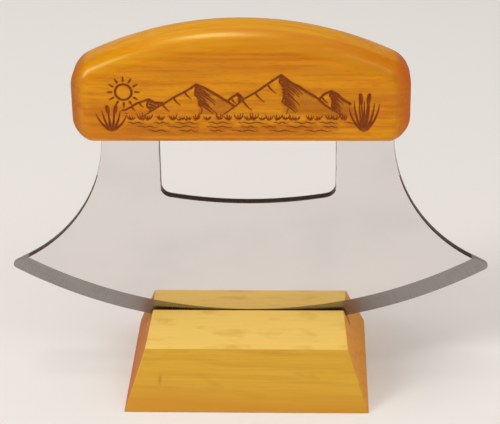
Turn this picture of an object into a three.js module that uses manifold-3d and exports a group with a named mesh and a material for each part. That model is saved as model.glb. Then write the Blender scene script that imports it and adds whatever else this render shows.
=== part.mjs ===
// Ulu knife standing in its slotted display block.
// Millimetres, +Z up. The origin is the centre of the block's underside, +X runs along the blade
// from tip to tip and +Y points away from the side that is looked at.

import * as THREE from 'three';
import { mergeVertices } from 'three/addons/utils/BufferGeometryUtils.js';
import Module from 'manifold-3d';

const wasm = await Module();
wasm.setup();

// Blade: a crescent of sheet steel. Heights on the knife count from the lowest point of the edge.
const bladeSpan = 152.4;          // tip to tip
const bladeThickness = 3;
const edgeRadius = 150.5;         // arc of the cutting edge
const edgeLand = 0.12;            // blunt flat left on the cutting edge
const bevelWidth = 6.2;           // ground band beside the edge, on both faces
const tipRadius = 1.6;
const edgeBreak = 0.3;            // rounding of the punched rim
const bellyHeight = 44.5;         // edge to the floor of the finger window, on the centre line
const windowWidth = 54.8;
const windowFloorRadius = 140;
const windowCornerRadius = 3.5;
const armWidth = 17.9;
const armReach = 68.1;            // edge to the underside of the handle
const tangLength = 18;            // steel hidden in the handle
const keyHoleDiameter = 6;
const keyHoleHeight = 9;          // above the underside of the handle

// Handle: an arched hardwood block.
const handleLength = 103.4;
const handleHeight = 35.8;        // underside to the crown
const handleThickness = 19;
const handleShift = -1.8;         // the block sits off the middle of the blade
const archRadius = 108;
const shoulderRadius = 9.4;       // corners between the arch and the ends
const heelRadius = 6.6;           // corners between the ends and the underside
const arrisRound = 6.3;           // front and back edges of the arch and the ends
const footRound = 3;              // front and back edges of the underside
const leastCorner = 0.6;          // corner that stays where an arris cuts deeper than the corner's radius

// Adhesive that holds each tang in its slot.
const glueLine = 0.4;             // room round the tang on every side
const bondGap = 0.05;             // clearance left between the adhesive and what it fills
const bondRecess = 1.5;           // how far the adhesive stays back from the underside

// Stand: one block with sloping sides, a low ridge and a saw slot along it.
const standLength = 77.4;
const standDepth = 59;
const eavesHeight = 18.3;         // foot of the top slopes
const eavesDepth = 41.8;          // front eaves to rear eaves
const lipHeight = 21.5;           // top of the slopes, at the lips of the slot
const endSlope = 0.36;            // inward run of the end faces for each unit of height
const slotFloorHeight = 15.4;
const slotClearance = 0.3;        // round the blade in its slot, and under its edge
const knifeShift = 0.6;           // the knife stands a little to one side of the block's middle

const arcSegments = 12;           // half the facets of each arc

// A closed geometry as a solid that can be joined and cut.
function toSolid(geometry) {
  const bare = geometry.clone();
  bare.deleteAttribute('normal');
  bare.deleteAttribute('uv');
  const merged = mergeVertices(bare, 1e-4);
  const mesh = new wasm.Mesh({
    numProp: 3,
    vertProperties: new Float32Array(merged.attributes.position.array),
    triVerts: new Uint32Array(merged.index.array),
  });
  return new wasm.Manifold(mesh);
}

// A solid back as a geometry.
function toGeometry(solid) {
  const mesh = solid.getMesh();
  const geometry = new THREE.BufferGeometry();
  geometry.setAttribute('position', new THREE.BufferAttribute(mesh.vertProperties, 3));
  geometry.setIndex(new THREE.BufferAttribute(mesh.triVerts, 1));
  geometry.computeVertexNormals();
  return geometry;
}

// A box between two heights, centred on x and on y = 0.
function blockSolid(x, length, thickness, bottom, top) {
  const block = new THREE.BoxGeometry(length, thickness, top - bottom);
  block.translate(x, 0, (bottom + top) / 2);
  return toSolid(block);
}

// A side view in x and z, extruded evenly to both sides of y = 0, with its rim rounded over.
function plateSolid(shape, thickness, rim) {
  const plate = new THREE.ExtrudeGeometry(shape, {
    depth: thickness - 2 * rim,
    bevelEnabled: rim > 0,
    bevelThickness: rim,
    bevelSize: rim,
    bevelOffset: -rim,
    bevelSegments: 2,
    curveSegments: arcSegments,
  });
  plate.translate(0, 0, rim - thickness / 2);
  plate.rotateX(Math.PI / 2);
  return toSolid(plate);
}

const armOuter = windowWidth / 2 + armWidth;
const armMiddle = windowWidth / 2 + armWidth / 2;
const tangTop = armReach + tangLength;

// Blade outline. The rounded tip touches the edge arc from inside; the hollow side starts upright
// at the handle and runs into the tip. Below the tips the outline leaves the edge arc along its
// tangents, and the ground disc in blade() brings it back to the arc.
function bladeOutline() {
  const tipX = bladeSpan / 2 - tipRadius;
  const tipZ = edgeRadius - Math.sqrt((edgeRadius - tipRadius) ** 2 - tipX ** 2);
  const reach = tipX - armOuter;
  const drop = armReach - tipZ;
  const sideRadius = (reach ** 2 + drop ** 2 - tipRadius ** 2) / (2 * (reach + tipRadius));
  const sideX = armOuter + sideRadius;
  const sideEnd = Math.atan2(drop, sideX - tipX);
  const tipEnd = Math.atan2(edgeRadius - tipZ, tipX);
  const keelZ = edgeRadius - edgeRadius / Math.sin(tipEnd);

  const half = windowWidth / 2;
  const floorX = half - windowCornerRadius;
  const floorCentre = bellyHeight + windowFloorRadius;
  const cornerZ = floorCentre - Math.sqrt((windowFloorRadius - windowCornerRadius) ** 2 - floorX ** 2);
  const floorEnd = Math.atan2(floorCentre - cornerZ, floorX);

  const outline = new THREE.Shape();
  outline.moveTo(half, tangTop);
  outline.lineTo(half, cornerZ);
  outline.absarc(floorX, cornerZ, windowCornerRadius, 0, -floorEnd, true);
  outline.absarc(0, floorCentre, windowFloorRadius, -floorEnd, floorEnd - Math.PI, true);
  outline.absarc(-floorX, cornerZ, windowCornerRadius, floorEnd - Math.PI, -Math.PI, true);
  outline.lineTo(-half, tangTop);
  outline.lineTo(-armOuter, tangTop);
  outline.lineTo(-armOuter, armReach);
  outline.absarc(-sideX, armReach, sideRadius, 0, -sideEnd, true);
  outline.absarc(-tipX, tipZ, tipRadius, Math.PI - sideEnd, Math.PI + tipEnd, false);
  outline.lineTo(0, keelZ);
  outline.absarc(tipX, tipZ, tipRadius, -tipEnd, sideEnd, false);
  outline.absarc(sideX, armReach, sideRadius, Math.PI + sideEnd, Math.PI, true);
  outline.lineTo(armOuter, tangTop);
  outline.closePath();

  for (const side of [-1, 1]) {
    const keyHole = new THREE.Path();
    keyHole.absarc(side * armMiddle, armReach + keyHoleHeight, keyHoleDiameter / 2, 0, 2 * Math.PI);
    outline.holes.push(keyHole);
  }
  return outline;
}

// The blade is its punched outline kept inside a ground disc, whose rim tapers to the edge from
// both faces. The disc turns on an axis along y through the centre of the edge arc.
function blade() {
  const discFacets = 480;
  const beyond = bladeThickness;
  const landHalf = edgeLand / 2;
  const taper = bevelWidth / (bladeThickness / 2 - landHalf);
  const rimStart = edgeRadius - taper * (beyond - landHalf);
  const profile = [
    new THREE.Vector2(0, -beyond),
    new THREE.Vector2(rimStart, -beyond),
    new THREE.Vector2(edgeRadius, -landHalf),
    new THREE.Vector2(edgeRadius, landHalf),
    new THREE.Vector2(rimStart, beyond),
    new THREE.Vector2(0, beyond),
  ];
  const disc = new THREE.LatheGeometry(profile, discFacets);
  disc.translate(0, 0, edgeRadius);
  return toGeometry(plateSolid(bladeOutline(), bladeThickness, edgeBreak).intersect(toSolid(disc)));
}

// One section of the handle across its thickness, drawn in from the ends and the arch by inset and
// up from the underside by footInset.
function handleSection(inset, footInset) {
  const half = handleLength / 2 - inset;
  const arch = archRadius - inset;
  const archZ = handleHeight - archRadius;
  const shoulder = Math.max(shoulderRadius - inset, leastCorner);
  const shoulderX = half - shoulder;
  const shoulderZ = archZ + Math.sqrt((arch - shoulder) ** 2 - shoulderX ** 2);
  const archStart = Math.atan2(shoulderZ - archZ, shoulderX);
  const across = Math.max(heelRadius - inset, leastCorner);
  const down = heelRadius - footInset;
  const heelX = half - across;

  const section = new THREE.Path();
  section.moveTo(-heelX, footInset);
  section.lineTo(heelX, footInset);
  section.absellipse(heelX, heelRadius, across, down, -Math.PI / 2, 0);
  section.absarc(shoulderX, shoulderZ, shoulder, 0, archStart);
  section.absarc(0, archZ, arch, archStart, Math.PI - archStart);
  section.absarc(-shoulderX, shoulderZ, shoulder, Math.PI - archStart, Math.PI);
  section.absellipse(-heelX, heelRadius, across, down, Math.PI, 1.5 * Math.PI);
  const points = section.getPoints(arcSegments);
  points.pop();
  return points;
}

// A closed skin over sections that all have the same number of points, from the front to the back.
function loft(sections) {
  const count = sections[0].points.length;
  const positions = [];
  const index = [];
  for (const { y, points } of sections) {
    for (const point of points) {
      positions.push(point.x, y, point.y);
    }
  }
  for (let ring = 0; ring + 1 < sections.length; ring += 1) {
    for (let i = 0; i < count; i += 1) {
      const a = ring * count + i;
      const b = ring * count + (i + 1) % count;
      index.push(a, a + count, b, b, a + count, b + count);
    }
  }
  const last = (sections.length - 1) * count;
  for (const [a, b, c] of THREE.ShapeUtils.triangulateShape(sections[0].points, [])) {
    index.push(a, b, c);
    index.push(last + a, last + c, last + b);
  }
  const skin = new THREE.BufferGeometry();
  skin.setAttribute('position', new THREE.Float32BufferAttribute(positions, 3));
  skin.setIndex(index);
  return skin;
}

// The handle block with its rounded arrises, and a blind slot for each tang.
function handle() {
  const roundSteps = 8;
  const core = handleThickness / 2 - arrisRound;
  const footCore = handleThickness / 2 - footRound;
  const front = [];
  for (let step = 0; step <= roundSteps; step += 1) {
    const angle = (step / roundSteps) * (Math.PI / 2);
    const y = core + arrisRound * Math.cos(angle);
    const overFoot = THREE.MathUtils.clamp(y - footCore, 0, footRound);
    const footInset = footRound - Math.sqrt((footRound - overFoot) * (footRound + overFoot));
    front.push({ y: -y, points: handleSection(arrisRound * (1 - Math.sin(angle)), footInset) });
  }
  const back = front.map(({ y, points }) => ({ y: -y, points })).reverse();
  const block = loft([...front, ...back]);
  block.translate(handleShift, 0, armReach);

  const slotDepth = tangLength + glueLine;
  const slotLength = armWidth + 2 * glueLine;
  const slotWidth = bladeThickness + 2 * glueLine;
  const below = armReach - heelRadius;
  let solid = toSolid(block);
  for (const side of [-1, 1]) {
    solid = solid.subtract(blockSolid(side * armMiddle, slotLength, slotWidth, below, armReach + slotDepth));
  }
  return toGeometry(solid);
}

// Cured adhesive of one slot: a liner round the tang and a round key through the hole in it.
function tangBond(side) {
  const wall = 2 * (glueLine - bondGap);
  const room = 2 * bondGap;
  const x = side * armMiddle;
  const bottom = armReach + bondRecess;
  const top = tangTop + glueLine - bondGap;
  const filled = blockSolid(x, armWidth + wall, bladeThickness + wall, bottom, top);
  const tang = blockSolid(x, armWidth + room, bladeThickness + room, armReach, tangTop + bondGap);
  const key = new THREE.CylinderGeometry(
    keyHoleDiameter / 2 - bondGap,
    keyHoleDiameter / 2 - bondGap,
    bladeThickness + glueLine,
    2 * arcSegments,
  );
  key.translate(x, 0, armReach + keyHoleHeight);
  return toGeometry(filled.subtract(tang).add(toSolid(key)));
}

// The stand is its end profile with the slot, run along x, kept between two sloping end faces.
function stand() {
  const slotHalf = bladeThickness / 2 + slotClearance;
  const profile = new THREE.Shape([
    new THREE.Vector2(-standDepth / 2, 0),
    new THREE.Vector2(standDepth / 2, 0),
    new THREE.Vector2(eavesDepth / 2, eavesHeight),
    new THREE.Vector2(slotHalf, lipHeight),
    new THREE.Vector2(slotHalf, slotFloorHeight),
    new THREE.Vector2(-slotHalf, slotFloorHeight),
    new THREE.Vector2(-slotHalf, lipHeight),
    new THREE.Vector2(-eavesDepth / 2, eavesHeight),
  ]);
  const bar = new THREE.ExtrudeGeometry(profile, { depth: 2 * standLength, bevelEnabled: false });
  bar.translate(0, 0, -standLength);
  bar.rotateX(Math.PI / 2);
  bar.rotateZ(Math.PI / 2);

  const low = -lipHeight;
  const high = 2 * lipHeight;
  const halfAt = (z) => standLength / 2 - endSlope * z;
  const front = new THREE.Shape([
    new THREE.Vector2(-halfAt(low), low),
    new THREE.Vector2(halfAt(low), low),
    new THREE.Vector2(halfAt(high), high),
    new THREE.Vector2(-halfAt(high), high),
  ]);
  return toGeometry(toSolid(bar).intersect(plateSolid(front, 2 * standDepth, 0)));
}

function piece(name, geometry, color, roughness, metalness) {
  const mesh = new THREE.Mesh(geometry, new THREE.MeshStandardMaterial({ color, roughness, metalness }));
  mesh.name = name;
  return mesh;
}

const knife = new THREE.Group();
knife.position.set(knifeShift, 0, slotFloorHeight + slotClearance);
knife.add(piece('blade', blade(), 0xd7d2cc, 0.06, 1));
knife.add(piece('handle', handle(), 0xcb801e, 0.3, 0));
knife.add(piece('left_tang_bond', tangBond(-1), 0xd8b878, 0.25, 0));
knife.add(piece('right_tang_bond', tangBond(1), 0xd8b878, 0.25, 0));

const ulu = new THREE.Group();
ulu.add(piece('stand', stand(), 0xdfae55, 0.6, 0));
ulu.add(knife);

export default ulu;
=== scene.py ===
import math
import random

import bmesh
import bpy
from mathutils import Color, Matrix, Vector
from mathutils.geometry import delaunay_2d_cdt
from mathutils.kdtree import KDTree


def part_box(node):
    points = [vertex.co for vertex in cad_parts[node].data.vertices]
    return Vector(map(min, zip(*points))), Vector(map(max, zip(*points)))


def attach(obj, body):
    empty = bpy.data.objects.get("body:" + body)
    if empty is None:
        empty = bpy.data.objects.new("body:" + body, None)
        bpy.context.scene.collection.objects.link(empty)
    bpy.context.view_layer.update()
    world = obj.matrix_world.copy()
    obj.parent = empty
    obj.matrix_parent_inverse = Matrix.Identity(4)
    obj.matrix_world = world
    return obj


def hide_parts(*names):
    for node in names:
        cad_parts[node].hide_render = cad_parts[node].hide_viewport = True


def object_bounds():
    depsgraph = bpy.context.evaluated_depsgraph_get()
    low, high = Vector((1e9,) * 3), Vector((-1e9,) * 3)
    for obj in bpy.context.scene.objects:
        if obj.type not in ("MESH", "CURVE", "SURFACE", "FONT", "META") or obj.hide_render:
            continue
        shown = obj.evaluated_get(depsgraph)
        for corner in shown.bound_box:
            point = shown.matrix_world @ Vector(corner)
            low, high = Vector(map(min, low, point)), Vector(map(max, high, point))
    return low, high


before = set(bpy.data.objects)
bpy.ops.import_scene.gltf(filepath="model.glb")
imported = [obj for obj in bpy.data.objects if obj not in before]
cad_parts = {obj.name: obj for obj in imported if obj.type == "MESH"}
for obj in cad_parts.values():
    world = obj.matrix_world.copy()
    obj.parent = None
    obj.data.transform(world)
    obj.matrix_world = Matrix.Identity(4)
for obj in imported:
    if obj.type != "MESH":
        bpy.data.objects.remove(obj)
cad_low, cad_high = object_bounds()
scene = bpy.context.scene
scene.view_settings.view_transform = "Standard"


# Display stand: one block of pale, close-grained hardwood with sloping sides and ends and a saw kerf
# along its top, in which the blade stands with little play. It is planed and sanded by hand, so its
# arrises are barely eased, and it is rubbed with thin oil and not varnished.

mm = 0.001
weld_within = 0.002 * mm
flat_within = math.radians(0.1)
outer_arris = 0.35 * mm
kerf_arris = 0.08 * mm
kerf_reach = 3 * mm
kerf_play = 0.1 * mm
kerf_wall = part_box("blade")[1].y + kerf_play


def copy_of(node):
    """A copy of a node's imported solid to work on, with its triangles joined into whole flat faces again."""
    mesh = bmesh.new()
    mesh.from_mesh(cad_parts[node].data)
    bmesh.ops.remove_doubles(mesh, verts=mesh.verts[:], dist=weld_within)
    whole = {"verts": mesh.verts[:], "edges": mesh.edges[:]}
    bmesh.ops.dissolve_limit(mesh, angle_limit=flat_within, **whole)
    return mesh


def piece_of(mesh, name, *materials):
    """The worked mesh as a smooth-shaded object with its materials."""
    for face in mesh.faces:
        face.smooth = True
    data = bpy.data.meshes.new(name)
    mesh.to_mesh(data)
    mesh.free()
    for material in materials:
        data.materials.append(material)
    piece = bpy.data.objects.new(name, data)
    scene.collection.objects.link(piece)
    return piece


def keep_faces_flat(piece):
    """Lets the large faces of a piece set the normals, so that only its narrow roundings shade round."""
    weighted = piece.modifiers.new("flat_faces", "WEIGHTED_NORMAL")
    weighted.weight = 100
    weighted.keep_sharp = True


class Wire:
    """An output of a node that arithmetic works on: each operator adds a Math node behind it."""

    def __init__(self, socket):
        self.socket = socket

    def node(self, kind, settings, inputs, output=None):
        """Adds any other node: its settings are set first, then the values or wires of its sockets."""
        tree = self.socket.id_data
        made = tree.nodes.new("ShaderNode" + kind)
        for name, value in settings.items():
            setattr(made, name, value)
        for name, value in inputs.items():
            socket = next(s for s in made.inputs if s.enabled and name in (s.identifier, s.name))
            if isinstance(value, Wire):
                tree.links.new(value.socket, socket)
            else:
                socket.default_value = value
        if output:
            return Wire(made.outputs[output])
        return Wire(next(s for s in made.outputs if s.enabled))

    def also(self, output):
        """Another output of the node that this wire comes from."""
        return Wire(self.socket.node.outputs[output])

    def into(self, socket):
        """Leads the wire into a socket of the shader."""
        self.socket.id_data.links.new(self.socket, socket)

    def math(self, operation, *terms):
        """Adds a Math node that works on these terms, or on this wire where none are given."""
        sockets = ("Value", "Value_001", "Value_002")
        return self.node("Math", {"operation": operation}, dict(zip(sockets, terms or (self,))))

    def __add__(self, other):
        return self.math("ADD", self, other)

    def __sub__(self, other):
        return self.math("SUBTRACT", self, other)

    def __rsub__(self, other):
        return self.math("SUBTRACT", other, self)

    def __mul__(self, other):
        return self.math("MULTIPLY", self, other)

    def __pow__(self, other):
        return self.math("POWER", self, other)

    def __abs__(self):
        return self.math("ABSOLUTE")

    __radd__ = __add__
    __rmul__ = __mul__

    def rise(self, low, high):
        """0 below low, 1 above high and a smooth rise between them."""
        reach = {"Value": self, "From Min": low, "From Max": high}
        return self.node("MapRange", {"interpolation_type": "SMOOTHSTEP"}, reach)


def surface(name):
    """A new material, its shader, and wires for the place in millimetres and the way the surface faces."""
    material = bpy.data.materials.new(name)
    material.use_nodes = True
    nodes = material.node_tree.nodes
    coordinates = nodes.new("ShaderNodeTexCoord")
    metres = Wire(coordinates.outputs["Object"])
    place = metres.node("VectorMath", {"operation": "SCALE"}, {"Vector": metres, "Scale": 1 / mm})
    return material, nodes["Principled BSDF"], place, metres.also("Normal")


def colour(red, green, blue):
    """A colour in screen values from 0 to 255, as the linear values that a shader takes."""
    return (*Color((red / 255, green / 255, blue / 255)).from_srgb_to_scene_linear(), 1)


def parts_of(vector):
    """The three parts of a vector."""
    x = vector.node("SeparateXYZ", {}, {"Vector": vector})
    return x, x.also("Y"), x.also("Z")


def noise(place, lengths, detail):
    """Noise between 0 and 1, with features of these lengths in millimetres along x, y and z."""
    stretched = place.node("VectorMath", {"operation": "DIVIDE"}, {"Vector": place, "Vector_001": lengths})
    return place.node("TexNoise", {}, {"Vector": stretched, "Scale": 1, "Detail": detail})


def spot(place, centre, size):
    """1 at the centre of a soft oval spot with these half lengths, and 0 outside it."""
    offset = place.node("VectorMath", {"operation": "SUBTRACT"}, {"Vector": place, "Vector_001": centre})
    share = place.node("VectorMath", {"operation": "DIVIDE"}, {"Vector": offset, "Vector_001": size})
    return 1 - share.node("VectorMath", {"operation": "LENGTH"}, {"Vector": share}, "Value").rise(0.1, 1)


def mix(first, second, share):
    """From the first colour at a share of 0 to the second at 1."""
    return share.node("Mix", {"data_type": "RGBA"}, {"Factor": share, "A": first, "B": second})


def growth_rings(place, pith, pitch, wander):
    """The yearly rings round a pith that runs along x, as a wave between 0 and 1. They wander from true
    circles in long bends, and by a ninth as much in short ones."""
    long_bends = noise(place, (110, 26, 26), detail=2)
    short_bends = noise(place, (30, 6, 6), detail=2)
    _, y, z = parts_of(place)
    across = y - pith[0]
    up = z - pith[1]
    radius = (across * across + up * up) ** 0.5
    drift = long_bends * wander + short_bends * (wander / 9)
    return ((radius + drift) * (2 * math.pi / pitch)).math("SINE") * 0.5 + 0.5


def bump(height, strength, depth):
    """A wire of normals that follow a height between 0 and 1, scaled to a depth in millimetres."""
    return height.node("Bump", {}, {"Strength": strength, "Distance": depth * mm, "Height": height})


def bare_wood():
    """Oiled wood: fine figure and a fleck on its sides, which darken towards the foot, with a blotchy top
    painted paler as painted top light, browner end grain with painted shade at the left end and painted
    light at the right, and raw wood in the kerf."""
    early_wood = colour(209, 160, 46)
    late_wood = colour(195, 143, 35)
    stain = colour(181, 129, 30)
    foot_wood = colour(194, 131, 26)
    top_wood_painted_light = colour(232, 194, 98)
    top_late_wood_painted_light = colour(221, 180, 84)
    dark_fleck = colour(150, 100, 38)
    left_end_wood_painted_shade = colour(189, 106, 8)
    right_end_wood_painted_light = colour(240, 156, 30)
    end_late_wood = colour(166, 98, 24)
    sawn_wood = colour(214, 156, 80)
    fibre_size = (24, 0.5, 0.5)
    pore_size = (2.4, 0.22, 0.22)
    stain_size = (13, 6, 6)
    blotch_size = (9, 5, 5)
    scratch_size = (9, 0.16, 0.16)
    fleck_place = (-27.3, -25.4, 9.4)
    fleck_size = (0.9, 3, 2.4)
    foot_band = (0.5, 9.5)
    foot_wave = 7
    foot_wave_size = (40, 12, 12)
    kerf_depth = 6.2
    kerf_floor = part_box("stand")[1].z / mm - kerf_depth
    sawn_band = (kerf_wall / mm - 0.05, kerf_wall / mm + 0.1)

    material, shader, place, facing = surface("bare_wood")
    _, from_middle, height = parts_of(place)
    sideways, _, upward = parts_of(facing)
    rings = growth_rings(place, pith=(-46, -38), pitch=4.6, wander=16)
    fibres = noise(place, fibre_size, detail=4)
    pores = noise(place, pore_size, detail=2)
    stained = noise(place, stain_size, detail=3).rise(0.55, 0.75)
    blotches = noise(place, blotch_size, detail=3).rise(0.5, 0.75)
    wave = (noise(place, foot_wave_size, detail=2) - 0.5) * foot_wave
    foot = 1 - (height + wave).rise(*foot_band)
    end = abs(sideways).rise(0.6, 0.9)
    in_kerf = (1 - abs(from_middle).rise(*sawn_band)) * height.rise(kerf_floor - 0.1, kerf_floor)

    wood = mix(early_wood, late_wood, rings.rise(0.5, 1) * 0.35 + fibres.rise(0.35, 0.8) * 0.55)
    wood = mix(wood, stain, stained * 0.55)
    wood = mix(wood, late_wood, pores.rise(0.6, 0.72) * 0.45)
    wood = mix(wood, foot_wood, foot * 0.75)
    wood = mix(wood, dark_fleck, spot(place, fleck_place, fleck_size) * 0.5)
    # Painted top light and sheen: the upward faces take a paler wood than the sides.
    painted_light_top = mix(top_wood_painted_light, top_late_wood_painted_light, fibres.rise(0.35, 0.8) * 0.5)
    painted_light_top = mix(painted_light_top, late_wood, blotches * 0.45)
    wood = mix(wood, painted_light_top, upward.rise(0.6, 0.9))
    # Painted shade and light: the end grain is darker at the left end and lighter at the right.
    end_wood_with_painted_side_light = mix(left_end_wood_painted_shade, right_end_wood_painted_light, sideways.rise(-0.5, 0.5))
    end_wood_with_painted_side_light = mix(end_wood_with_painted_side_light, end_late_wood, rings.rise(0.75, 1) * 0.14 + fibres.rise(0.5, 0.8) * 0.2)
    wood = mix(wood, end_wood_with_painted_side_light, end)
    mix(wood, sawn_wood, in_kerf).into(shader.inputs["Base Color"])
    (fibres * 0.14 + 0.4 + end * 0.15).into(shader.inputs["Roughness"])
    shader.inputs["Specular IOR Level"].default_value = 0.3
    sanding = noise(place, scratch_size, detail=2) + pores * 0.6
    bump(sanding, strength=0.3, depth=0.03).into(shader.inputs["Normal"])
    return material


def on_kerf(edge):
    """Whether an edge of the block belongs to the kerf."""
    return all(abs(vert.co.y) < kerf_reach for vert in edge.verts)


stand = copy_of("stand")
for vert in stand.verts:
    if abs(vert.co.y) < kerf_reach:
        vert.co.y = math.copysign(kerf_wall, vert.co.y)
arrises = [edge for edge in stand.edges if edge.is_convex and not on_kerf(edge)]
bmesh.ops.bevel(stand, geom=arrises, offset=outer_arris, segments=3, profile=0.5, affect="EDGES")
lips = [edge for edge in stand.edges if edge.is_convex and on_kerf(edge)]
bmesh.ops.bevel(stand, geom=lips, offset=kerf_arris, segments=2, profile=0.5, affect="EDGES")
block = piece_of(stand, "display_block", bare_wood())
keep_faces_flat(block)
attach(block, "stand")
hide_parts("stand")


# Blade: a crescent punched from stainless sheet, which leaves a burnished and a torn strip round its rim.
# Its faces are polished to a mirror, and its curved edge is ground on a belt from both sides, which leaves
# a duller band with fine lines across it. The belt also dresses the thin sides of the tips.

edge_radius = 150.5
bevel_width = 6.2
blade_low, blade_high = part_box("blade")
grind_axis = ((blade_low.x + blade_high.x) / 2 / mm, blade_low.z / mm + edge_radius)
face_lean = 0.999
bevel_lean = 0.95
buffed_lean = 0.6
upright_slope = 0.3
soft_turn = math.radians(30)
mirror, ground, rim, buffed = range(4)


def bare_steel(name):
    """A new surface of bare metal, with its shader and wires."""
    made = surface(name)
    made[1].inputs["Metallic"].default_value = 1
    return made


def mirror_steel():
    """The polished faces, with a faint haze and the marks of wiping."""
    polished = colour(230, 226, 225)
    hazy = colour(222, 219, 219)
    haze_size = (38, 38, 21)
    wipe_size = (30, 9, 0.25)

    material, shader, place, _ = bare_steel("mirror_steel")
    haze = noise(place, haze_size, detail=4).rise(0.4, 0.75)
    wiping = noise(place, wipe_size, detail=3).rise(0.55, 0.8)
    mix(polished, hazy, haze).into(shader.inputs["Base Color"])
    (haze * 0.03 + wiping * 0.02 + 0.035).into(shader.inputs["Roughness"])
    return material


def ground_steel():
    """The ground band, whose lines turn with the curved edge, and the dressed sides of the tips."""
    light_line = colour(164, 160, 157)
    dark_line = colour(138, 135, 133)
    dressed_steel = colour(182, 175, 168)
    line_size = (0.12, 9, 30)
    pass_size = (14, 5, 30)

    material, shader, place, facing = bare_steel("ground_steel")
    x, y, z = parts_of(place)
    across = x - grind_axis[0]
    down = grind_axis[1] - z
    along_edge = across.math("ARCTAN2", across, down) * edge_radius
    from_axis = (across * across + down * down) ** 0.5
    on_band = place.node("CombineXYZ", {}, {"X": along_edge, "Y": from_axis, "Z": y})
    lines = noise(on_band, line_size, detail=3)
    passes = noise(on_band, pass_size, detail=2)
    dressed = 1 - abs(parts_of(facing)[1]).rise(0.8, 0.95)
    steel = mix(dark_line, light_line, lines.rise(0.3, 0.7) * 0.4 + passes * 0.6)
    mix(steel, dressed_steel, dressed).into(shader.inputs["Base Color"])
    (lines * 0.08 + passes * 0.1 + 0.2 + dressed * 0.3).into(shader.inputs["Roughness"])
    bump(lines, strength=0.012, depth=0.01).into(shader.inputs["Normal"])
    return material


def rim_steel():
    """The punched rim: burnished near the back of the blade and torn over the rest of its thickness."""
    burnished = colour(186, 176, 168)
    torn_metal_and_painted_reflection = colour(84, 66, 56)
    torn_band = (0.7, 1.3)
    torn_wave = 0.5
    torn_wave_size = (5, 100, 5)
    grit_size = (0.6, 1.2, 0.6)

    material, shader, place, _ = bare_steel("rim_steel")
    _, through, _ = parts_of(place)
    wave = (noise(place, torn_wave_size, detail=2) - 0.5) * torn_wave
    torn = 1 - (through + wave).rise(*torn_band)
    grit = noise(place, grit_size, detail=3)
    # Besides the torn metal, the torn strip's dark brown is painted reflection of dark surroundings.
    mix(burnished, torn_metal_and_painted_reflection, torn * (grit * 0.3 + 0.8)).into(shader.inputs["Base Color"])
    (grit * 0.14 + 0.36).into(shader.inputs["Roughness"])
    bump(grit * torn, strength=0.3, depth=0.03).into(shader.inputs["Normal"])
    return material


def buffed_steel():
    """The roundings of the rim that the polishing wheel has caught."""
    bright = colour(236, 231, 226)
    dull = colour(206, 201, 196)
    wear_size = (2.4, 2.4, 2.4)

    material, shader, place, _ = bare_steel("buffed_steel")
    wear = noise(place, wear_size, detail=3)
    mix(bright, dull, wear.rise(0.4, 0.7)).into(shader.inputs["Base Color"])
    (wear * 0.12 + 0.36).into(shader.inputs["Roughness"])
    return material


def finish_of(face):
    """The finish of a face of the blade: polished on the flats, ground on the band and at the tips, and
    punched on the rim, whose roundings are buffed along its upright stretches and all round the back."""
    lean = abs(face.normal.y)
    place = face.calc_center_median() / mm
    from_axis = math.hypot(place.x - grind_axis[0], place.z - grind_axis[1])
    if lean > face_lean:
        return mirror
    if lean > bevel_lean or from_axis > edge_radius - bevel_width:
        return ground
    upright = abs(face.normal.z) < upright_slope * abs(face.normal.x)
    return buffed if lean > buffed_lean and (upright or face.normal.y > 0) else rim


blade = copy_of("blade")
for face in blade.faces:
    face.material_index = finish_of(face)
for edge in blade.edges:
    meeting = {face.material_index for face in edge.link_faces}
    edge.smooth = ground not in meeting or meeting == {ground} and edge.calc_face_angle(0) < soft_turn
finishes = (mirror_steel(), ground_steel(), rim_steel(), buffed_steel())
crescent = piece_of(blade, "crescent_blade", *finishes)
keep_faces_flat(crescent)
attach(crescent, "knife")
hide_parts("blade")


# Tang bonds: the two-part adhesive that fills each slot of the handle round its tang. It has set to clear
# amber with a few trapped bubbles, and its round key through the tang keeps the blade from pulling out.


def cured_adhesive():
    """Clear amber resin, cloudy where bubbles are."""
    resin = colour(214, 180, 112)
    bubble = colour(238, 214, 160)
    bubble_size = (0.7, 0.7, 0.7)

    material, shader, place, _ = surface("cured_adhesive")
    shader.inputs["Transmission Weight"].default_value = 0.3
    shader.inputs["IOR"].default_value = 1.52
    bubbles = noise(place, bubble_size, detail=2)
    mix(resin, bubble, bubbles.rise(0.55, 0.75)).into(shader.inputs["Base Color"])
    (bubbles * 0.2 + 0.12).into(shader.inputs["Roughness"])
    return material


adhesive = cured_adhesive()
for hand in ("left", "right"):
    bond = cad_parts[hand + "_tang_bond"].data
    bond.materials.clear()
    bond.materials.append(adhesive)


# Handle: one block of amber hardwood, arched on top and rounded over on a router, with a blind slot for
# each tang. It is lacquered, and a picture of peaks over a lake is burnt into its front through the
# lacquer. The picture is drawn in millimetres from the middle of the handle and up from its underside.

handle_low, handle_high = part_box("handle")
handle_middle = (handle_low.x + handle_high.x) / 2 / mm
handle_sole = handle_low.z / mm
flat_margin = 0.8 * mm
sharp_turn = math.radians(60)
groove_depth = 0.34
finest_line = 0.13
pen_step = 0.3
burnt_to = 0.85
bare_from = 1.3
groove_side = 0.75
shade = 0.4
strokes = []
chance = random.Random(11)


def inside(outline, place):
    """Whether a place lies inside a closed outline."""
    crossings = 0
    for a, b in zip(outline, outline[1:] + outline[:1]):
        if (a.y > place.y) != (b.y > place.y):
            crossings += place.x < a.x + (b.x - a.x) * (place.y - a.y) / (b.y - a.y)
    return crossings % 2 == 1


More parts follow.
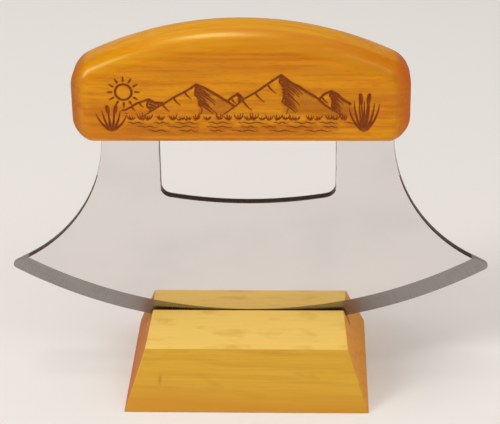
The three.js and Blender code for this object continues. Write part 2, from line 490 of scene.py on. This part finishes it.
def draw(points, half_width, start=1.0, end=1.0, behind=(), tone=1.0):
    """Burns a line of this half width and tone, tapered to shares of the width at its ends, where no
    outline hides it."""
    legs = [(b - a).length for a, b in zip(points, points[1:])]
    length = sum(legs)
    steps = max(2, round(length / pen_step))
    leg = 0
    walked = 0.0
    stroke = []
    for step in range(steps + 1):
        share = step / steps
        while leg < len(legs) - 1 and share * length > walked + legs[leg]:
            walked += legs[leg]
            leg += 1
        a, b = points[leg], points[leg + 1]
        place = a.lerp(b, (share * length - walked) / legs[leg])
        pressure = (1 - share) ** 2 * start + 2 * share * (1 - share) + share ** 2 * end
        if any(inside(outline, place) for outline in behind):
            strokes.append(stroke)
            stroke = []
        else:
            stroke.append((place, (b - a).normalized(), max(finest_line, half_width * pressure), tone))
    strokes.append(stroke)


def crag(start, end, bends, wobble):
    """A broken line between two places."""
    line = [start.lerp(end, i / bends) for i in range(bends + 1)]
    across = (end - start).orthogonal().normalized()
    for point in line[1:-1]:
        point += across * chance.uniform(-wobble, wobble)
    return line


def bow(start, end, sag, steps=8):
    """A bent line between two places that sags to one side by a share of its length."""
    across = (end - start).orthogonal()
    shares = [i / steps for i in range(steps + 1)]
    return [start.lerp(end, share) + across * (4 * sag * share * (1 - share)) for share in shares]


def compass(step, half_turn):
    """The direction of a step round a circle that has this many steps in half a turn."""
    turn = step * math.pi / half_turn
    return Vector((math.cos(turn), math.sin(turn)))


# The outlines that stand before the peaks start with the two reed beds, each given by the place of its
# root, its number of leaves and its height.

reed_foot = 4.0
reed_spread = 4.6
root_half = 1
reed_beds = ((37.5, 7, 10.5), (-39.0, 6, 7.0))
nearer = []
for root_x, _, tall in reed_beds:
    nearer.append([
        Vector((root_x - root_half, reed_foot)),
        Vector((root_x + root_half, reed_foot)),
        Vector((root_x + reed_spread, reed_foot + tall)),
        Vector((root_x - reed_spread, reed_foot + tall)),
    ])

# Peaks, from the nearest to the farthest, each given by its summit and the two places where it meets the
# shore. A broken spur runs down each. Right of it the flank is shaded and hatched, and creases fall from
# the left slope.

shore = 9.0
peaks = [
    ((12.5, 22.4), -6.0, 31.5),
    ((-13.0, 19.4), -29.5, 4.0),
    ((27.5, 17.2), 15.0, 40.0),
    ((-27.5, 14.6), -40.0, -13.0),
    ((-0.5, 16.4), -9.0, 9.0),
]
spur_drift = 0.12
spur_stop = 0.8
flank_shares = (0.3, 0.5, 0.7, 0.9)
flank_breadth = 0.085
hatches_per_mm = 0.95
hatch_offset = 0.6
hatch_lengths = (0.2, 0.42)
hatch_lean = 0.8
hatch_stop = 0.3
crease_shares = (0.22, 0.42, 0.62)
crease_fall = Vector((0.2, -0.22))
for (top_x, top_z), left, right in peaks:
    summit = Vector((top_x, top_z))
    rise = top_z - shore
    foot_left = Vector((left, shore))
    foot_right = Vector((right, shore))
    spur_foot = Vector((top_x + spur_drift * rise, shore + spur_stop))
    left_slope = crag(foot_left, summit, bends=7, wobble=0.4)
    right_slope = crag(summit, foot_right, bends=7, wobble=0.4)
    draw(left_slope, half_width=0.4, start=0.4, behind=nearer)
    draw(right_slope, half_width=0.48, end=0.4, behind=nearer)
    draw(crag(summit, spur_foot, bends=6, wobble=0.9), half_width=0.34, end=0.3, behind=nearer)
    for share in flank_shares:
        flank = [summit.lerp(spur_foot, share), summit.lerp(foot_right, share)]
        draw(flank, half_width=flank_breadth * rise, behind=nearer, tone=shade)
    hatches = round(hatches_per_mm * rise)
    for i in range(hatches):
        begin = summit.lerp(spur_foot, (i + hatch_offset) / hatches)
        fall = (foot_right - summit) * chance.uniform(*hatch_lengths)
        stop = begin + Vector((fall.x * hatch_lean, fall.y))
        if stop.y > shore + hatch_stop:
            draw(bow(begin, stop, sag=0.04), half_width=0.32, start=1.2, end=0.3, behind=nearer)
    for share in crease_shares:
        begin = summit.lerp(foot_left, share)
        crease = bow(begin, begin + crease_fall * rise, sag=-0.06)
        draw(crease, half_width=0.3, end=0.3, behind=nearer)
    nearer.append(left_slope + right_slope[1:])

# The sun: a ring with twelve short rays.

sun = Vector((-35.0, 17.0))
sun_radius = 2.5
ray_from = 3.5
ray_to = 5.0
ring_steps = 18
ray_steps = 6
ring = [sun + compass(i, ring_steps) * sun_radius for i in range(2 * ring_steps + 1)]
draw(ring, half_width=0.38, behind=nearer)
for i in range(2 * ray_steps):
    ray = compass(i, ray_steps)
    draw([sun + ray * ray_from, sun + ray * ray_to], half_width=0.34, end=0.4, behind=nearer)

# The lake: rows of short ripples with a pale shade below each. The rows get shorter towards the front.

ripple_rows = (7.0, 5.7, 4.4)
lake_left = -34.0
lake_right = 32
inset_left = 3
inset_right = 2
ripple_lengths = (4.0, 9.0)
ripple_gaps = (1.6, 3.6)
ripple_height = 0.25
ripple_steps = 8
shade_offset = Vector((0.6, -0.5))
for row, z in enumerate(ripple_rows):
    x = lake_left + inset_left * row
    while x < lake_right - inset_right * row:
        length = chance.uniform(*ripple_lengths)
        ripple = []
        for i in range(ripple_steps + 1):
            swell = ripple_height * math.sin(i * math.pi / 2)
            ripple.append(Vector((x + length * i / ripple_steps, z + swell)))
        draw(ripple, half_width=0.3, start=0.3, end=0.3)
        draw([point + shade_offset for point in ripple], half_width=0.5, tone=shade * 0.7)
        x += length + chance.uniform(*ripple_gaps)

# Tufts of grass along the shore, each of four blades.

grass_left = -33.0
grass_right = 31.5
grass_foot = shore - 0.9
grass_leans = (-0.9, -0.3, 0.4, 1.0)
grass_sag = 0.1
root_gap = 0.4
root_waver = 0.2
tuft_heights = (0.9, 2.4)
tuft_gaps = (1.5, 4.0)
tip_leans = (0.5, 1.2)
tip_heights = (0.5, 1)
x = grass_left
while x < grass_right:
    tall = chance.uniform(*tuft_heights)
    for lean in grass_leans:
        root = Vector((x + root_gap * lean, grass_foot + chance.uniform(-root_waver, root_waver)))
        tip = root + Vector((lean * chance.uniform(*tip_leans), tall * chance.uniform(*tip_heights)))
        draw(bow(root, tip, sag=-grass_sag * lean), half_width=0.24, start=1.2, end=0.3)
    x += chance.uniform(*tuft_gaps)

# Reeds: a fan of leaves, which are lower towards its sides, and two stems with a thick head each.

fan_width = 7.0
root_spread = 0.3
leaf_foot = reed_foot + 0.4
leaf_foot_rise = 0.12
leaf_heights = (0.8, 1)
leaf_drop = 0.018
leaf_sag = 0.022
stem_foot = reed_foot + 0.6
stem_leans = (-1.2, 1.5)
stem_height = 1.1
head_from = 0.76
for root_x, leaves, tall in reed_beds:
    for i in range(leaves):
        lean = (i / (leaves - 1) - 0.5) * fan_width
        root = Vector((root_x + root_spread * lean, leaf_foot + leaf_foot_rise * abs(lean)))
        height = tall * (1 - leaf_drop * lean * lean) * chance.uniform(*leaf_heights)
        tip = root + Vector((lean, height))
        draw(bow(root, tip, sag=-leaf_sag * lean), half_width=0.36, start=1.2, end=0.3)
    for lean in stem_leans:
        root = Vector((root_x, stem_foot))
        tip = root + Vector((lean, tall * stem_height))
        draw([root, tip], half_width=0.24)
        draw([root.lerp(tip, head_from), tip], half_width=0.75, start=0.7, end=0.7)


def lacquered_wood():
    """Amber wood under lacquer, paler along the arch as painted top light, with painted light and shade that
    differ from left to right on its shoulders and ends, browner and duller at the ends, where the grain
    soaks the lacquer up, and scorched as far as the mesh's burn attribute says."""
    light_wood = colour(225, 143, 4)
    dark_wood = colour(198, 106, 2)
    left_shoulder_painted_light = colour(209, 144, 4)
    right_shoulder_painted_shade = colour(192, 117, 3)
    top_wood_painted_light = colour(231, 164, 10)
    pore = colour(166, 84, 3)
    left_end_wood_painted_shade = colour(156, 66, 1)
    right_end_wood_painted_light = colour(208, 80, 1)
    burnt = colour(128, 42, 1)
    amber_sheen = (0.8, 0.95, 0.4, 1)
    fibre_size = (26, 1.3, 1.3)
    band_size = (70, 5, 5)
    pore_size = (3.2, 0.26, 0.26)
    soot_size = (0.8, 0.8, 0.8)
    lacquer_wave_size = (9, 6, 6)

    material, shader, place, facing = surface("lacquered_wood")
    sideways, forward, upward = parts_of(facing)
    rings = growth_rings(place, pith=(64, 58), pitch=7.5, wander=30)
    fibres = noise(place, fibre_size, detail=3)
    bands = noise(place, band_size, detail=2)
    pores = noise(place, pore_size, detail=2)
    soot = noise(place, soot_size, detail=3)
    burn = place.node("Attribute", {"attribute_name": "burn"}, {}, "Fac")
    figure = rings.rise(0.5, 1) * 0.3 + fibres.rise(0.38, 0.68) * 0.7
    # Painted top light: the crown of the arch takes a paler wood.
    arch_painted_light = upward.rise(0.75, 0.95) * (1 - abs(forward).rise(0.1, 0.35))
    end = abs(sideways).rise(0.15, 0.9)

    wood = mix(light_wood, dark_wood, figure)
    wood = mix(wood, dark_wood, bands.rise(0.48, 0.7) * 0.4)
    wood = mix(wood, pore, pores.rise(0.56, 0.7) * 0.4)
    # Painted light and shade: the upward faces take a paler wood at the left shoulder than at the right.
    shoulder_painted_light_and_shade = mix(left_shoulder_painted_light, right_shoulder_painted_shade, sideways.rise(-0.3, 0.3))
    wood = mix(wood, mix(shoulder_painted_light_and_shade, dark_wood, figure * 0.5), upward.rise(0.06, 0.4) * 0.85)
    wood = mix(wood, mix(top_wood_painted_light, dark_wood, figure * 0.4), arch_painted_light * 0.8)
    # Painted shade and light: the end grain is darker at the left end than at the right, besides soaking up
    # the lacquer.
    end_wood_with_painted_side_light = mix(left_end_wood_painted_shade, right_end_wood_painted_light, sideways.rise(-0.5, 0.5))
    wood = mix(wood, end_wood_with_painted_side_light, end * 0.75)
    mix(wood, burnt, burn * (soot * 0.8 + 0.55)).into(shader.inputs["Base Color"])
    (fibres * 0.06 + 0.23 + burn * 0.4 + end ** 2 * 0.4).into(shader.inputs["Roughness"])
    shader.inputs["Specular Tint"].default_value = amber_sheen
    lacquer = noise(place, lacquer_wave_size, detail=2) + pores * 0.05
    bump(lacquer, strength=0.3, depth=0.06).into(shader.inputs["Normal"])
    return material


def all_of(mesh):
    """Everything in a mesh, as its operators take it."""
    return mesh.verts[:] + mesh.edges[:] + mesh.faces[:]


# The back of the handle is the mirror image of its front half, and both flats are drawn in a little, so
# that the roundings run out into them.

handle = copy_of("handle")
front_half = {"plane_co": (0, 0, 0), "plane_no": (0, 1, 0), "clear_outer": True}
bmesh.ops.bisect_plane(handle, geom=all_of(handle), **front_half)
bmesh.ops.mirror(handle, geom=all_of(handle), axis="Y", merge_dist=weld_within)
bmesh.ops.recalc_face_normals(handle, faces=handle.faces[:])
burn_layer = handle.verts.layers.float.new("burn")
front_face = min(handle.faces, key=lambda face: face.normal.y * face.calc_area())
back_face = max(handle.faces, key=lambda face: face.normal.y * face.calc_area())
flat_middle = (handle_low + handle_high) / 2
flat_reach = (handle_high - handle_low) / 2
for face in (front_face, back_face):
    bmesh.ops.inset_region(handle, faces=[face], thickness=0)
    for vert in face.verts:
        vert.co.x -= (vert.co.x - flat_middle.x) / flat_reach.x * flat_margin
        vert.co.z -= (vert.co.z - flat_middle.z) / flat_reach.z * flat_margin


def pen_marks(stroke):
    """The places that a stroke needs in the mesh: across it at every step, and round its two ends."""
    marks = []
    for place, along, half, _ in stroke:
        across = along.orthogonal()
        reaches = (-bare_from, -groove_side, 0, groove_side, bare_from)
        marks += [place + across * (half * reach) for reach in reaches]
    for (place, along, half, _), outward in ((stroke[0], -1), (stroke[-1], 1)):
        for turn in (-math.pi / 4, 0, math.pi / 4):
            towards = along * (outward * math.cos(turn)) + along.orthogonal() * math.sin(turn)
            marks.append(place + towards * (half * bare_from))
    return marks


def pressed(place):
    """How deep the pen has gone in at a place, in millimetres, and how burnt the wood is there."""
    depth = 0.0
    burn = 0.0
    for _, i, away in pen.find_range((*place, 0), bare_from * widest):
        _, _, half, tone = drawn[i]
        if tone == 1:
            depth = max(depth, min(groove_depth, half) * (1 - (away / half) ** 2))
        burn = max(burn, tone * min(1, (bare_from - away / half) / (bare_from - burnt_to)))
    return depth, burn


# The front flat becomes a mesh that is fine along the strokes and coarse elsewhere, and its vertices take
# the depth and the burn of the strokes that pass over them.

fill_pitch = 1.6
least_gap = 0.07
keep_inside = 1
merge_within = 1e-5
border = [loop.vert for loop in front_face.loops]
outline = [Vector((vert.co.x / mm - handle_middle, vert.co.z / mm - handle_sole)) for vert in border]
strokes = [stroke for stroke in strokes if stroke]
drawn = [step for stroke in strokes for step in stroke]
widest = max(half for _, _, half, _ in drawn)
pen = KDTree(len(drawn))
for i, (place, _, _, _) in enumerate(drawn):
    pen.insert((*place, 0), i)
pen.balance()
wanted = [mark for stroke in strokes for mark in pen_marks(stroke)]
columns = int((handle_high.x - handle_low.x) / mm / fill_pitch)
rows = int((handle_high.z - handle_low.z) / mm / fill_pitch)
for i in range(-columns, columns + 1):
    for j in range(rows + 1):
        place = Vector((i * fill_pitch / 2, j * fill_pitch))
        if pen.find((*place, 0))[2] > fill_pitch / 2:
            wanted.append(place)
cells = {}
for place in wanted:
    cells.setdefault((round(place.x / least_gap), round(place.y / least_gap)), place)
filled = [place for place in cells.values() if inside(outline, place)]
outline_edges = [(i, (i + 1) % len(outline)) for i in range(len(outline))]
fine_mesh = delaunay_2d_cdt(outline + filled, outline_edges, [], keep_inside, merge_within)
places, _, triangles, sources, _, _ = fine_mesh

bmesh.ops.delete(handle, geom=[front_face], context="FACES_ONLY")
corners = []
for place, source in zip(places, sources):
    if source and source[0] < len(border):
        corners.append(border[source[0]])
        continue
    depth, burn = pressed(place)
    x = (place.x + handle_middle) * mm
    z = (place.y + handle_sole) * mm
    corner = handle.verts.new((x, handle_low.y + depth * mm, z))
    corner[burn_layer] = burn
    corners.append(corner)
for triangle in triangles:
    handle.faces.new([corners[i] for i in triangle])
for edge in handle.edges:
    edge.smooth = edge.calc_face_angle(0) < sharp_turn
grip = piece_of(handle, "arched_handle", lacquered_wood())
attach(grip, "knife")
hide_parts("handle")


# Stage: a pale plain floor under the stand, in a room with dim walls and a darker ceiling. One small lamp
# above and one at each side make the lacquer's streaks, and large soft ones in front, at the side and
# behind give the rest of the light. The camera looks down on the engraved side.

floor_size = 8
floor_tone = colour(230, 227, 223)
floor_mesh = bmesh.new()
bmesh.ops.create_grid(floor_mesh, x_segments=1, y_segments=1, size=floor_size / 2)
floor_paint, floor_shader, _, _ = surface("floor_paint")
floor_shader.inputs["Base Color"].default_value = floor_tone
floor_shader.inputs["Roughness"].default_value = 0.9
floor = piece_of(floor_mesh, "floor", floor_paint)
floor.location.z = cad_low.z

wall_tone = colour(176, 173, 170)
ceiling_tone = colour(106, 104, 102)
wall_band = (0.05, 0.3)
world = bpy.data.worlds.new("studio")
world.use_nodes = True
scene.world = world
room = world.node_tree.nodes["Background"]
direction = Wire(world.node_tree.nodes.new("ShaderNodeTexCoord").outputs["Generated"])
_, _, upward = parts_of(direction)
mix(wall_tone, ceiling_tone, upward.rise(*wall_band)).into(room.inputs["Color"])

lamp_aim = Vector((0, 0, 0.09))
lamp_tint = (1, 0.98, 0.955)
full_spread = math.pi
gridded_spread = math.radians(135)


def lamp(name, towards, distance, size, watts, spread=full_spread):
    """A soft lamp of this width and height that hangs in a direction from the knife and faces it, with a
    grid on it where its light is to spread less."""
    light = bpy.data.lights.new(name, "AREA")
    light.shape = "RECTANGLE"
    light.size, light.size_y = size
    light.energy = watts
    light.spread = spread
    light.color = lamp_tint
    made = bpy.data.objects.new(name, light)
    out = Vector(towards).normalized()
    made.location = lamp_aim + out * distance
    made.rotation_mode = "QUATERNION"
    made.rotation_quaternion = out.to_track_quat("Z", "Y")
    scene.collection.objects.link(made)


lamp("top_lamp", towards=(-0.15, -0.03, 0.985), distance=1.8, size=(0.75, 0.45), watts=11)
left_grid = {"size": (0.38, 1.05), "spread": gridded_spread}
lamp("left_lamp", towards=(-0.72, -0.42, 0.55), distance=1.8, watts=7.9, **left_grid)
lamp("right_lamp", towards=(0.48, -0.53, 0.70), distance=1.8, size=(0.45, 0.45), watts=1.3)
lamp("front_lamp", towards=(0.1, -0.69, 0.7), distance=2.6, size=(3.4, 3.4), watts=24.6)
lamp("side_lamp", towards=(0.9, -0.25, 0.35), distance=2.2, size=(2, 2), watts=6)
lamp("back_lamp", towards=(0, 0.3, 0.95), distance=2.4, size=(2.4, 2.4), watts=12)

elevation = math.radians(26)
azimuth = math.radians(2.3213)
roll = math.radians(-0.9)
distance = 541.67 * mm
target = Vector((0.997, 0, 56.15)) * mm
photo_width = 500
focal_pixels = 1711
back = Vector((
    math.sin(azimuth) * math.cos(elevation),
    -math.cos(azimuth) * math.cos(elevation),
    math.sin(elevation),
))
level = Vector((math.cos(azimuth), math.sin(azimuth), 0))
upright = back.cross(level)
rightward = level * math.cos(roll) + upright * math.sin(roll)
skyward = upright * math.cos(roll) - level * math.sin(roll)
turned = Matrix((rightward, skyward, back)).transposed().to_4x4()
camera = bpy.data.objects.new("camera", bpy.data.cameras.new("camera"))
camera.data.lens = focal_pixels / photo_width * camera.data.sensor_width
camera.data.clip_start = 0.01
camera.matrix_world = Matrix.Translation(target + back * distance) @ turned
scene.collection.objects.link(camera)
scene.camera = camera
